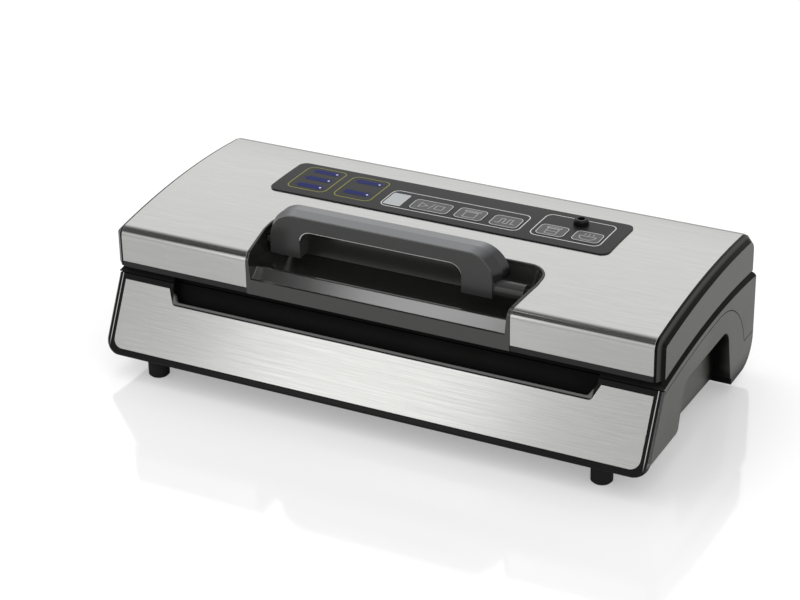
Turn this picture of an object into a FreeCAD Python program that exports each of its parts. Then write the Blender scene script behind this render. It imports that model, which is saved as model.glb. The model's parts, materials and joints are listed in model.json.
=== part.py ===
import FreeCAD, Part
import math
import os
from FreeCAD import Vector

# Countertop vacuum sealer with a hinged lid and a locking lever handle.
# Millimetres, +Z up, front towards -Y, origin on the table under the middle of the appliance.
# A setback is a distance in front of the back face.

# Overall size
width = 400.0
depth = 195.4
half = width / 2

# Reach of cutting bodies past the appliance, overrun of small cuts, fit of seated pieces, match of places
beyond = width
overshoot = 1.0
fit = 0.1
near = 0.01

# Crown: the arc that the lid top, the lid underside and the base top share
crown_radius = 625.0
crown_setback = 69.6
crown_height = 109.7
sky = 2 * crown_height

# Lid
front_reach = 22.4
lid_front = depth - front_reach
lid_back = 3.0
lid_thickness = 27.6
cap_width = 6.0
cap_inset = 0.6
cap_bevel = 4.4
sheet = 0.8
sheet_half = half - cap_width
front_bend = 7.0
rear_bend = 14.0
rim_height = 4.0
rim_width = 6.0
rim_lip = 4.5
liner_thickness = 2.5
liner_corner = 2.0
plug_length = 4.0
plug_wall = 2.0

# Base housings
lid_gap = 3.0
base_drop = lid_thickness + lid_gap
wall = 2.5
front_top_inset = 3.5
front_top_setback = lid_front - front_top_inset
front_top_height = 66.2
front_foot_height = 16.0
rear_foot_height = 8.0
rear_leg_front = 41.5
underside_rear = 13.0
rear_corner = 20.0
leg_corner = 10.0
deck = 2.5
rim_bevel = 3.4
rear_bevel = 2.0
parting_drop = 38.3
parting_turn_radius = 52.0
rear_parting_height = 30.0
parting_groove = 0.5

# Side grip arches
arch_depth = 12.0
arch_height = 55.0
arch_corner = 12.0
front_leg_depth = 46.9
front_leg_lean = 16.2
arch_front_foot = depth - front_leg_depth
arch_front_top = arch_front_foot - front_leg_lean
arch_rear_foot = 40.3
arch_rear_top = 52.0

# Sloping front with its bezel, steel panel and bag mouth
bezel_thickness = 3.0
bezel_bevel = 1.2
bezel_side = 6.0
bezel_corner = 11.0
panel_half_width = half - bezel_side
panel_top = 4.0
panel_bottom = 51.7
panel_corner = 7.0
panel_sheet = 1.0
panel_clearance = 0.2
notch_side = 41.0
notch_slant = 5.0
notch_half_top = half - notch_side
notch_half_bottom = notch_half_top - notch_slant
notch_depth = 15.0
notch_rim = 2.5
notch_corner = 3.0
mouth_depth = 7.0

# Vacuum trough, seal bar and gaskets
trough_side = 50.0
trough_inset = 36.0
trough_width = 42.0
trough_half = half - trough_side
trough_front = lid_front - trough_inset
trough_back = trough_front - trough_width
trough_floor = 57.0
tray_clearance = 0.4
tray_wall = 1.4
tray_height = 11.0
tray_corner = 3.0
tray_hole = 1.0
gasket_width = 6.0
gasket_reach = 2.0
gasket_seat = 1.0
gasket_rise = 1.2
seal_bar_inset = 16.5
seal_bar_width = 8.0
seal_bar_overrun = 2.0
seal_bar_front = lid_front - seal_bar_inset
seal_bar_back = seal_bar_front - seal_bar_width
seal_bar_half = trough_half + seal_bar_overrun
seal_bar_depth = 4.5
seal_bar_rise = 0.8
heater_width = 3.0
heater_thickness = 0.3
tape_width = 7.0
tape_thickness = 0.2
strip_width = 8.0

# Feet
foot_side = 35.0
front_foot_inset = 13.9
foot_x = half - foot_side
front_foot_setback = depth - front_foot_inset
rear_foot_setback = 28.0
foot_radius = 7.3
foot_bevel = 1.2
foot_stud_radius = 3.0
foot_stud_length = 4.0

# Mains cord inlet in the rear wall
gland_side = 80.0
gland_x = half - gland_side
gland_height = 46.0
gland_radius = 6.0
gland_flange = 2.0
gland_bore = 3.2

# Lid hinge
hinge_side = 80.0
hinge_x = half - hinge_side
hinge_setback = 7.0
knuckle_radius = 3.0
pin_radius = 1.5
pin_fit = 0.05
base_knuckle_length = 6.0
lid_knuckle_length = 10.0
knuckle_gap = 0.4
knuckle_clearance = 0.5
hinge_web = 3.2
hinge_foot = 5.5
leaf_rise = 5.0
leaf_sheet = 1.5
leaf_length = 20.0
lid_swing = 60.0
relief_clearance = 0.3

# Locking lever: pivot, latch hooks and the catches in the deck
pivot_inset = 33.0
pivot_setback = lid_front - pivot_inset
pivot_drop = 7.18
latch_side = 32.0
latch_x = half - latch_side
hook_thickness = 5.0
hook_side_gap = 1.0
hook_dip = 2.9
hook_arm = 5.0
hook_toe = 5.5
hook_toe_height = 2.7
hook_swing_gap = 0.6
handle_swing = 65.0
catch_half = 7.0
catch_bite = 4.5
catch_length = 14.0
catch_sheet = 1.2
shaft_radius = 3.0
shaft_fit = 0.08
shaft_bite = 20.0
shaft_side = 14.0
bearing_side = 19.0
bearing_width = 3.0
bearing_inner = sheet_half - bearing_side

# Handle recess in the front of the lid
recess_front_half = 96.5
recess_flare = 4.5
recess_wide_half = recess_front_half + recess_flare
recess_shoulder = pivot_setback
recess_length = 56.0
recess_back = lid_front - recess_length
recess_corner = 15.0
recess_rim = 1.5
recess_proud = 0.4
recess_floor = 84.0
recess_front_slope = 3.5
recess_side_slope = 11.0
recess_back_slope = 5.0
recess_floor_corner = 8.0
recess_skin = 1.0
lip_thickness = 2.5
apron_ledge = 1.5
apron_depth = 8.0
apron_rise = 5.6
apron_crest = 3.0
apron_round = 1.2

# Handle, set towards the left of its recess
handle_left_gap = 9.0
handle_right_gap = 29.0
handle_left = handle_left_gap - recess_wide_half
handle_right = recess_wide_half - handle_right_gap
handle_lead = 7.0
handle_front = pivot_setback + handle_lead
handle_depth = 18.0
handle_rear = handle_front - handle_depth
handle_top = 122.5
bar_height = 10.0
leg_width = 22.5
handle_corner = 18.0
handle_inner_corner = 8.0
handle_edge = 0.8
handle_hub = 5.5
hub_reach = 3.0
cover_thickness = 2.5
cover_lip = 1.5
cover_low = 104.0
cover_crest_setback = handle_front - handle_depth / 2
cover_crest_rise = 1.6
cover_crest_flare = 4.0
cover_rear_rise = 0.8
cover_rear_flare = 5.0

# Control panel: places along X are shares of the half width of the panel
panel_half = 127.0
overlay_front = 88.5
overlay_back = 38.0
overlay_corner = 6.0
overlay_rise = 0.8
overlay_seat = 0.05
overlay_margin = 4.0
key_gap = 0.25
key_rise = 0.3
key_depth = 2.3
key_flange = 0.8
key_flange_thickness = 0.8
key_corner = 3.5
key_travel = 0.5
key_stem_radius = 1.5
key_stem = 2.0
switch_clearance = 0.2
switch_size = 6.0
switch_height = 3.5
button_radius = 1.2
button_height = 1.0
board_thickness = 1.6
board_margin = 6.0
board_back = 56.0
post_radius = 3.0
window_gap = 0.15
window_depth = 2.0
window_corner = 1.0
port_share = 0.735
port_setback = 52.0
port_radius = 5.2
port_bore = 2.5
port_rise = 5.0
port_depth = 6.0
port_flange = 1.6
port_bevel = 1.0
keys = {
    "key_auto": (-0.189, 0.039, 78.0, 62.0),
    "key_seal": (0.075, 0.241, 78.0, 61.5),
    "key_pulse": (0.283, 0.449, 78.5, 62.0),
    "key_canister": (0.551, 0.713, 78.0, 62.0),
    "key_marinate": (0.751, 0.909, 77.0, 62.0),
}
display = (-0.339, -0.236, 78.0, 59.0)
lens_height = 7.5
lens_share = 0.173
lens_columns = ((-0.887, (49.0, 61.5, 74.0)), (-0.610, (52.0, 71.0)))

# Vacuum path
nozzle_side = 30.0
nozzle_inset = 25.0
nozzle_x = trough_half - nozzle_side
nozzle_setback = trough_front - nozzle_inset
nozzle_radius = 5.0
nozzle_bore = 3.0
nozzle_tail = 12.0
nozzle_collar = 2.0
hose_height = 30.0
hose_bend = 12.0
seat_gap = 0.2
pump_x = 0.0
pump_length = 34.0
pump_width = 36.0
pump_height = 34.0
motor_radius = 16.0
motor_length = 52.0
motor_shaft = 8.0

# Electrics and screws in the base
core_side = 40.0
core_x = core_side - half
core_setback = 91.0
core_length = 62.0
core_width = 50.0
core_height = 36.0
coil_margin = 6.0
coil_height = 24.0
main_board_side = 160.0
main_board_x = half - main_board_side
main_board_setback = 86.0
main_board_length = 110.0
main_board_width = 60.0
main_board_z = 24.0
lid_switch_side = 32.0
lid_switch_x = half - lid_switch_side
lid_switch_setback = 60.0
screw_side = 30.0
screw_x = half - screw_side
screw_head = 3.2
screw_head_height = 2.0
screw_radius = 1.5
screw_length = 12.0
screw_boss = 5.0
liner_screw_head = 2.6
liner_screw_length = 7.0

# Slope of the front, and the back face
slope = (depth - front_top_setback) / (front_top_height - front_foot_height)
front_tilt = math.degrees(math.atan(slope))
slant = math.cos(math.atan(slope))
bezel_height = (front_top_height - front_foot_height) / slant
back_y = (depth - bezel_bevel * math.sin(math.atan(slope))) / 2
X = Vector(1, 0, 0)
Y = Vector(0, 1, 0)
Z = Vector(0, 0, 1)


def fwd(distance):
    """Y of a plane that lies this far in front of the back face."""
    return back_y - distance


def crown_z(setback, drop):
    """Height of the arc that lies drop under the crown, at a distance from the back."""
    reach = fwd(setback) - fwd(crown_setback)
    return crown_height - crown_radius + math.sqrt((crown_radius - drop) ** 2 - reach ** 2)


def box(x0, x1, y0, y1, z0, z1):
    return Part.makeBox(x1 - x0, y1 - y0, z1 - z0, Vector(x0, y0, z0))


def span(x0, x1, front, rear, z0, z1):
    """Box between two distances from the back face."""
    return box(x0, x1, fwd(front), fwd(rear), z0, z1)


def rod(x0, x1, setback, z, radius):
    """Cylinder along X."""
    return Part.makeCylinder(radius, x1 - x0, Vector(x0, fwd(setback), z), X)


def side_prism(points, x0, x1):
    """Outline of (distance from the back, height) points carried across X."""
    corners = [Vector(x0, fwd(d), z) for d, z in points]
    face = Part.Face(Part.makePolygon(corners + corners[:1]))
    return face.extrude(Vector(x1 - x0, 0, 0))


def round_x_edges(solid, radius, places):
    """Round the edges along X that pass through the (distance, height) places."""
    edges = []
    for edge in solid.Edges:
        middle = edge.CenterOfMass
        along_x = edge.BoundBox.YLength < near and edge.BoundBox.ZLength < near
        for d, z in places:
            if along_x and abs(middle.y - fwd(d)) < fit and abs(middle.z - z) < fit:
                edges.append(edge)
    return solid.makeFillet(radius, edges)


def crown_body(drop):
    """Everything under the arc that lies drop below the crown."""
    centre_z = crown_height - crown_radius
    body = rod(-beyond, beyond, crown_setback, centre_z, crown_radius - drop)
    body.rotate(Vector(0, fwd(crown_setback), centre_z), X, 180)
    return body


def crown_layer(outline, drop_top, drop_bottom):
    """Plan outline carried up through the layer between two arcs."""
    column = outline.extrude(Vector(0, 0, sky))
    return column.common(crown_body(drop_top)).cut(crown_body(drop_bottom))


def plate_outline(x0, x1, front, rear, radius=0.0):
    """Rectangle in plan with equal round corners."""
    y0 = fwd(front)
    y1 = fwd(rear)
    if radius <= 0:
        return Part.Face(Part.makePolygon([Vector(x0, y0), Vector(x1, y0), Vector(x1, y1),
                                           Vector(x0, y1), Vector(x0, y0)]))
    lines = [((x0 + radius, y0), (x1 - radius, y0)), ((x1, y0 + radius), (x1, y1 - radius)),
             ((x1 - radius, y1), (x0 + radius, y1)), ((x0, y1 - radius), (x0, y0 + radius))]
    knee = radius * (1 - math.sqrt(0.5))
    knees = [(x1 - knee, y0 + knee), (x1 - knee, y1 - knee), (x0 + knee, y1 - knee), (x0 + knee, y0 + knee)]
    edges = []
    for i in range(4):
        start = Vector(*lines[i][0])
        end = Vector(*lines[i][1])
        following = Vector(*lines[(i + 1) % 4][0])
        edges.append(Part.LineSegment(start, end).toShape())
        edges.append(Part.Arc(end, Vector(*knees[i]), following).toShape())
    return Part.Face(Part.Wire(edges))


def both_sides(make):
    """The piece that make builds for the right side, and its mirror image on the left."""
    right = make()
    return [right, right.mirror(Vector(), X)]


def on_front(shape):
    """Carry a shape from front-panel coordinates (x, up the slope, outwards) to its place."""
    origin = Vector(0, fwd(front_top_setback), front_top_height)
    shape = shape.copy()
    to_slope = FreeCAD.Placement(origin, FreeCAD.Rotation(X, 90 - front_tilt))
    shape.Placement = to_slope.multiply(shape.Placement)
    return shape


def export(node, *solids):
    shape = solids[0] if len(solids) == 1 else Part.makeCompound(list(solids))
    shape.exportStep("parts/" + node + ".step")


os.makedirs("parts", exist_ok=True)
hinge_z = crown_z(hinge_setback, lid_thickness + lid_gap / 2)
hinge_places = (-hinge_x, hinge_x)
pivot_height = crown_z(pivot_setback, pivot_drop)
hook_length = pivot_height - crown_z(pivot_setback, base_drop) + hook_dip
hook_reach = math.hypot(hook_length, hook_toe + hook_arm / 2)
key_bottom = key_depth - overlay_rise - key_rise
stem_end = crown_height - key_bottom - key_stem
board_bottom = stem_end - key_travel - switch_clearance - button_height - switch_height - board_thickness


def z_edges(solid, places):
    """Edges along Z that pass through the (x, y) places."""
    picked = []
    for edge in solid.Edges:
        middle = edge.CenterOfMass
        upright = edge.BoundBox.XLength < near and edge.BoundBox.YLength < near
        if upright and any(abs(middle.x - x) < fit and abs(middle.y - y) < fit for x, y in places):
            picked.append(edge)
    return picked


def base_block(inset, front_inset, top_drop):
    """Outer form of the base with its walls drawn in, under the arc that lies top_drop below the crown."""
    top = crown_height
    low = front_foot_height + inset
    front = front_top_setback - front_inset / slant
    outline = [
        (front - (top - front_top_height) * slope, top),
        (front - (low - front_top_height) * slope, low),
        (arch_front_top, low),
        (rear_leg_front - inset, underside_rear + inset),
        (rear_leg_front - inset, rear_foot_height + inset),
        (inset, rear_foot_height + inset),
        (inset, top),
    ]
    block = side_prism(outline, -half + inset, half - inset)
    block = round_x_edges(block, rear_corner - inset, [(inset, rear_foot_height + inset)])
    for corner in both_sides(lambda: leg_corner_waste(half - inset, low, leg_corner - inset)):
        block = block.cut(corner)
    return block.common(crown_body(top_drop)).Solids[0]


def leg_corner_waste(side, low, radius):
    """What rounding takes off the lower right edge of the front legs."""
    waste = span(side - radius, side + overshoot, depth, arch_front_top, low - overshoot, low + radius)
    return waste.cut(Part.makeCylinder(radius, depth, Vector(side - radius, fwd(depth), low + radius), Y))


def below_parting(grow):
    """Everything under the line where the two base housings part."""
    turn_z = crown_z(crown_setback, parting_drop) - parting_turn_radius
    front = crown_body(parting_drop - grow)
    front = front.common(span(-beyond, beyond, beyond, crown_setback, -beyond, sky))
    turn = rod(-beyond, beyond, crown_setback, turn_z, parting_turn_radius + grow)
    turn = turn.common(span(-beyond, beyond, crown_setback, -beyond, rear_parting_height, sky))
    low = span(-beyond, beyond, beyond, -beyond, -beyond, rear_parting_height + grow)
    return front.fuse(turn).fuse(low)


def grip_arch(grow):
    """Right-hand grip arch between the legs, enlarged all round by grow."""
    outline = [
        (arch_front_foot + grow, 0),
        (arch_front_top + grow, arch_height + grow),
        (arch_rear_top - grow, arch_height + grow),
        (arch_rear_foot - grow, 0),
    ]
    arch = side_prism(outline, half - arch_depth - grow, half + overshoot)
    return round_x_edges(arch, arch_corner, outline[1:3])


def bag_notch(rim, inner, outer):
    """Opening in the top of the front, smaller all round by rim, between two depths on the slope."""
    top_half = notch_half_top - rim
    low_half = notch_half_bottom - rim
    low = rim - notch_depth
    corners = [(-top_half, lid_thickness), (top_half, lid_thickness), (top_half, -panel_top), (low_half, low),
               (-low_half, low), (-top_half, -panel_top)]
    points = [Vector(x, y, inner) for x, y in corners]
    prism = Part.Face(Part.makePolygon(points + points[:1])).extrude(Vector(0, 0, outer - inner))
    return prism.makeFillet(notch_corner, z_edges(prism, corners[3:5]))


def mouth_wall():
    """Block behind the bag mouth that closes the housings there."""
    reach = notch_half_top + wall
    block = box(-reach, reach, -notch_depth - wall, lid_thickness, -mouth_depth - wall, -bezel_thickness)
    return on_front(block)


def front_clear():
    """Space in front of the housings that the bezel takes."""
    return on_front(box(-beyond, beyond, -depth, parting_groove, -bezel_thickness, lid_thickness))


def lower_housing():
    block = base_block(0, 0, base_drop)
    hollow = base_block(wall, bezel_thickness + wall, base_drop)
    for grip in both_sides(lambda: grip_arch(wall)):
        hollow = hollow.cut(grip)
    shell = block.cut(hollow).fuse(mouth_wall().common(block)).common(below_parting(0))
    shell = shell.cut(on_front(bag_notch(notch_rim, -mouth_depth, lid_thickness)))
    for grip in both_sides(lambda: grip_arch(0)):
        shell = shell.cut(grip)
    shell = shell.cut(front_clear())
    for post in main_board_posts():
        shell = shell.fuse(post)
    for x, setback in base_screw_places():
        low = floor_z(setback) - wall / 2
        shell = shell.fuse(Part.makeCylinder(screw_boss, screw_length + wall, Vector(x, fwd(setback), low)))
        shell = shell.cut(base_screw(x, setback, fit))
    for stud in foot_studs(fit):
        shell = shell.cut(stud)
    return shell.removeSplitter()


def foot_places():
    for x in (-foot_x, foot_x):
        yield x, front_foot_setback, front_foot_height
        yield x, rear_foot_setback, rear_foot_height


def foot_studs(grow):
    """Studs that hold the feet in the floor of the lower housing."""
    return [Part.makeCylinder(foot_stud_radius + grow, height + foot_stud_length, Vector(x, fwd(setback), 0))
            for x, setback, height in foot_places()]


def foot(x, setback, height):
    pad = Part.makeCylinder(foot_radius, height, Vector(x, fwd(setback), 0))
    pad = pad.makeChamfer(foot_bevel, [edge for edge in pad.Edges if edge.BoundBox.ZMax < near])
    stud = Part.makeCylinder(foot_stud_radius, height + foot_stud_length, Vector(x, fwd(setback), 0))
    return pad.fuse(stud.cut(span(-half, half, depth, 0, 0, height / 2))).removeSplitter()


def cord_hole(grow):
    return Part.makeCylinder(gland_radius + grow, 2 * wall, Vector(gland_x, fwd(2 * wall), gland_height), Y)


def cord_gland():
    """Inlet collar in the rear wall, with a flange inside."""
    collar = Part.makeCylinder(gland_radius, wall, Vector(gland_x, fwd(wall), gland_height), Y)
    flange = Part.makeCylinder(gland_radius + gland_flange, gland_flange,
                               Vector(gland_x, fwd(wall + gland_flange), gland_height), Y)
    bore = Part.makeCylinder(gland_bore, 3 * wall, Vector(gland_x, fwd(3 * wall), gland_height), Y)
    return collar.fuse(flange).cut(bore).removeSplitter()


def trough_outline(reach):
    """Plan outline that lies this far outside the vacuum trough."""
    side = trough_half + reach
    return plate_outline(-side, side, trough_front + reach, trough_back - reach, reach)


def trough_ring(drop_top, drop_bottom):
    """Ring round the vacuum trough in which the foam gaskets lie."""
    outer = trough_outline(gasket_reach + gasket_width)
    return crown_layer(outer.cut(trough_outline(gasket_reach)), drop_top, drop_bottom)


def seal_strip(half_length, strip, drop_top, drop_bottom):
    """Straight strip along the seal line, under the two arcs."""
    middle = (seal_bar_front + seal_bar_back) / 2
    outline = plate_outline(-half_length, half_length, middle + strip / 2, middle - strip / 2)
    return crown_layer(outline, drop_top, drop_bottom)


def trough_block(grow, low):
    """Block of the vacuum trough, wider all round by grow, from one height upwards."""
    side = trough_half + grow
    return span(-side, side, trough_front + grow, trough_back - grow, low, sky)


def seal_bar_slot(grow, slot_depth):
    """Slot for the seal bar, larger by grow on its sides, down to a depth under the deck."""
    return seal_strip(seal_bar_half + grow, seal_bar_width + 2 * grow, 0, base_drop + slot_depth)


def latch_well(grow):
    """Pocket in the deck that the right-hand latch hook swings through."""
    x0 = latch_x - hook_thickness / 2 - hook_side_gap - grow
    x1 = latch_x + hook_thickness / 2 + hook_side_gap + grow
    reach = hook_reach + hook_swing_gap
    top = crown_z(pivot_setback, base_drop) - pivot_height
    front = pivot_setback + math.sqrt(reach ** 2 - top ** 2) + grow
    rear = pivot_setback - hook_toe - hook_arm / 2 - hook_swing_gap - grow
    return span(x0, x1, front, rear, pivot_height - reach - grow, sky)


def hinge_boss(x):
    reach = base_knuckle_length + lid_knuckle_length
    return span(x - reach, x + reach, hinge_setback + 2 * knuckle_radius, 0, hinge_z - hinge_foot - wall, sky)


def hinge_well(x):
    """Room in the deck for the knuckles and for the foot of the bracket."""
    reach = base_knuckle_length + lid_knuckle_length / 2 + 2 * knuckle_gap
    foot_room = hinge_web_block(x - reach, x + reach, hinge_z - hinge_foot, hinge_z, fit)
    return knuckle_clear(x).fuse(foot_room)


def hinge_web_block(x0, x1, z0, z1, grow):
    """Upright web on the hinge line, thicker by grow on both faces."""
    reach = hinge_web / 2 + grow
    return span(x0, x1, hinge_setback + reach, hinge_setback - reach, z0, z1)


def base_knuckles(x):
    """Bracket with two knuckles either side of the lid's knuckle."""
    inner = lid_knuckle_length / 2 + knuckle_gap
    outer = inner + base_knuckle_length
    low = hinge_z - hinge_foot
    bracket = hinge_web_block(x - outer, x + outer, low, hinge_z - knuckle_radius - knuckle_clearance, 0)
    for start, end in ((x - outer, x - inner), (x + inner, x + outer)):
        bracket = bracket.fuse(hinge_web_block(start, end, low, hinge_z, 0)).fuse(knuckle(start, end))
    return bracket.cut(pin_hole(x)).removeSplitter()


def knuckle(x0, x1):
    return rod(x0, x1, hinge_setback, hinge_z, knuckle_radius)


def pin_hole(x):
    reach = base_knuckle_length + lid_knuckle_length
    return rod(x - reach, x + reach, hinge_setback, hinge_z, pin_radius + pin_fit)


def hinge_pin(x):
    reach = lid_knuckle_length / 2 + knuckle_gap + base_knuckle_length
    return rod(x - reach, x + reach, hinge_setback, hinge_z, pin_radius)


def rim_edges(block):
    """Upper edges of the base along its two ends."""
    return [edge for edge in block.Edges if edge.BoundBox.XLength < near and edge.BoundBox.YLength > depth / 2
            and edge.CenterOfMass.z > arch_height]


def rear_edge(block):
    """Upper edge of the base along the back."""
    return [edge for edge in block.Edges if edge.BoundBox.XLength > half
            and edge.BoundBox.YMin > back_y - near and edge.CenterOfMass.z > arch_height]


def upper_housing():
    """Deck with the vacuum trough, the seal bar slot, the latch wells and the hinge bosses."""
    block = base_block(0, 0, base_drop)
    block = block.makeChamfer(rim_bevel, rim_edges(block))
    block = block.makeChamfer(rear_bevel, rear_edge(block))
    hollow = base_block(wall, bezel_thickness + wall, base_drop + deck)
    body = block.cut(hollow).fuse(mouth_wall().common(block)).cut(below_parting(parting_groove))
    tubs = [trough_block(wall, trough_floor), seal_bar_slot(wall, seal_bar_depth + wall)]
    tubs += both_sides(lambda: latch_well(wall))
    tubs += [hinge_boss(x) for x in hinge_places]
    for tub in tubs:
        body = body.fuse(tub.common(block))
    hollows = [trough_block(0, trough_floor + wall),
               seal_bar_slot(fit, seal_bar_depth),
               trough_ring(0, base_drop + gasket_seat),
               on_front(bag_notch(notch_rim, -mouth_depth, lid_thickness)),
               front_clear(),
               cord_hole(fit),
               nozzle_hole(fit)]
    hollows += both_sides(lambda: latch_well(0))
    hollows += [hinge_well(x) for x in hinge_places]
    for hollow in hollows:
        body = body.cut(hollow)
    return body.removeSplitter()


def nozzle_column(radius, low, high):
    return Part.makeCylinder(radius, high - low, Vector(nozzle_x, fwd(nozzle_setback), low))


def nozzle_hole(grow):
    return nozzle_column(nozzle_radius + grow, trough_floor - wall, trough_floor + 2 * wall)


def intake_nozzle():
    """Flanged tube through the trough floor that takes the hose below."""
    low = trough_floor - nozzle_tail
    tube = nozzle_column(nozzle_radius, low, trough_floor + wall)
    collar = nozzle_column(nozzle_radius + nozzle_collar, trough_floor - nozzle_collar, trough_floor)
    return tube.fuse(collar).cut(nozzle_column(nozzle_bore, 0, sky)).removeSplitter()


def drip_tray():
    """Lift-out tray in the trough, with a hole over the intake."""
    side = trough_half - tray_clearance
    front = trough_front - tray_clearance
    rear = trough_back + tray_clearance
    floor = trough_floor + wall
    top = floor + tray_height
    outer = span(-side, side, front, rear, floor, top)
    inner = span(tray_wall - side, side - tray_wall, front - tray_wall, rear + tray_wall,
                 floor + tray_wall, top)
    corners = z_edges(outer, [(x, fwd(d)) for x in (-side, side) for d in (front, rear)])
    tray = outer.makeFillet(tray_corner, corners).cut(inner)
    return tray.cut(nozzle_column(nozzle_radius + tray_hole, 0, sky))


def panel_face(grow, inner, outer):
    """Steel front panel outline with its bag notch, enlarged all round by grow."""
    x = panel_half_width + grow
    low = -panel_bottom - grow
    sheet_block = box(-x, x, low, grow - panel_top, inner, outer)
    sheet_block = sheet_block.makeFillet(panel_corner, z_edges(sheet_block, [(-x, low), (x, low)]))
    return sheet_block.cut(bag_notch(grow, inner - overshoot, outer + overshoot))


def front_panel():
    return on_front(panel_face(0, -panel_sheet, 0))


def front_bezel():
    """Black frame round the steel panel, with the bag notch and a bevelled edge."""
    plate = box(-half, half, -bezel_height, 0, -bezel_thickness, 0)
    plate = plate.makeFillet(bezel_corner, z_edges(plate, [(-half, -bezel_height), (half, -bezel_height)]))
    rim = [edge for edge in plate.Edges if edge.BoundBox.ZMin > -near and edge.BoundBox.YMin < -near]
    plate = plate.makeChamfer(bezel_bevel, rim)
    plate = plate.cut(panel_face(panel_clearance, -panel_sheet, overshoot))
    return on_front(plate.cut(bag_notch(notch_rim, -bezel_thickness - overshoot, overshoot)))


def latch_catch():
    plate = plate_outline(latch_x - catch_half, latch_x + catch_half, pivot_setback - catch_bite,
                          pivot_setback - catch_bite - catch_length)
    return crown_layer(plate, base_drop - catch_sheet, base_drop)


def lid_solid(inset, x0, x1):
    """Outer form of the lid drawn in by inset, still solid and reaching below the lid."""
    front = lid_front - inset
    rear = lid_back + inset
    low = crown_height - 2 * lid_thickness
    block = span(x0, x1, front, rear, low, sky).common(crown_body(inset)).Solids[0]
    block = round_x_edges(block, front_bend - inset, [(front, crown_z(front, inset))])
    return round_x_edges(block, rear_bend - inset, [(rear, crown_z(rear, inset))])


def rear_relief():
    """Room behind the hinge that lets the lid swing open without touching the base."""
    swing = math.radians(lid_swing)
    start = (lid_gap / 2 - relief_clearance) / math.sin(swing)
    end = hinge_setback + wall
    rise = (end - start) * math.tan(swing)
    outline = [(hinge_setback - start, hinge_z), (hinge_setback - end, hinge_z + rise),
               (hinge_setback - end, hinge_z - lid_gap), (hinge_setback - start, hinge_z - lid_gap)]
    return side_prism(outline, -beyond, beyond)


def lid_floor():
    """Everything under the lid, with the room behind the hinge."""
    return crown_body(lid_thickness).fuse(rear_relief())


def recess_wire(mouth, wide, rear, corner, z):
    """Plan outline of the handle recess at one height, open past the front, with round rear corners."""
    side = [(mouth, depth), (mouth, lid_front), (wide, recess_shoulder), (wide, rear + corner)]
    knee = corner * (1 - math.sqrt(0.5))
    right = [Vector(x, fwd(d), z) for x, d in side]
    left = [Vector(-x, fwd(d), z) for x, d in side]
    right_end = Vector(wide - corner, fwd(rear), z)
    left_end = Vector(corner - wide, fwd(rear), z)
    edges = [Part.LineSegment(a, b).toShape() for a, b in zip(right, right[1:])]
    edges.append(Part.Arc(right[-1], Vector(wide - knee, fwd(rear + knee), z), right_end).toShape())
    edges.append(Part.LineSegment(right_end, left_end).toShape())
    edges.append(Part.Arc(left_end, Vector(knee - wide, fwd(rear + knee), z), left[-1]).toShape())
    back_again = left[::-1] + right[:1]
    edges += [Part.LineSegment(a, b).toShape() for a, b in zip(back_again, back_again[1:])]
    return Part.Wire(edges)


def recess_plan(grow):
    """Column over the outline of the handle recess, enlarged all round by grow."""
    outline = recess_wire(recess_front_half + grow, recess_wide_half + grow, recess_back - grow,
                          recess_corner, 0)
    return Part.Face(outline).extrude(Vector(0, 0, sky))


def steel_cover():
    """Bent brushed sheet over the lid, with openings for the handle recess and the control panel."""
    bottom = lid_thickness - rim_height
    cover = lid_solid(0, -sheet_half, sheet_half).cut(lid_solid(sheet, -half, half))
    cover = cover.cut(crown_body(bottom)).cut(rear_relief())
    cover = cover.cut(recess_plan(0))
    side = panel_half - overlay_margin
    opening = plate_outline(-side, side, overlay_front - overlay_margin, overlay_back + overlay_margin,
                            overlay_corner - overlay_margin / 2)
    return cover.cut(opening.extrude(Vector(0, 0, sky))).removeSplitter()


def end_cap():
    """Right-hand moulded end of the lid, with a plug that fits inside the steel cover."""
    cap = lid_solid(cap_inset, sheet_half, half)
    outer = [edge for edge in cap.Edges
             if edge.BoundBox.XMin > half - near and edge.BoundBox.ZMax > hinge_z + lid_thickness / 2]
    cap = cap.makeChamfer(cap_bevel, outer)
    plug = lid_solid(sheet + fit, sheet_half - plug_length, sheet_half)
    plug = plug.cut(lid_solid(sheet + fit + plug_wall, sheet_half - plug_length, sheet_half))
    plug = plug.cut(crown_body(lid_thickness - rim_height - rim_lip - fit))
    return cap.fuse(plug).cut(lid_floor()).removeSplitter()


def ring(inset, ring_width, drop_top, drop_bottom):
    """Hollow frame along the edge of the lid, drawn in by inset, between two arcs."""
    reach = sheet_half - inset
    outer = lid_solid(inset, -reach, reach)
    hole = span(-reach + ring_width, reach - ring_width, lid_front - inset - ring_width,
                lid_back + inset + ring_width, 0, sky)
    return outer.cut(hole).common(crown_body(drop_top)).cut(crown_body(drop_bottom))


def shaft_line(radius, x0, x1):
    return rod(x0, x1, pivot_setback, pivot_height, radius)


def shaft_bearing():
    """Upright plate that carries the right-hand end of the handle shaft."""
    plate = span(bearing_inner, bearing_inner + bearing_width, lid_front - rim_width + plug_wall,
                 pivot_setback - shaft_radius - wall, 0, pivot_height + shaft_radius + wall)
    plate = plate.common(lid_solid(sheet + fit, -half, half))
    return plate.cut(crown_body(lid_thickness - liner_thickness - fit))


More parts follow.
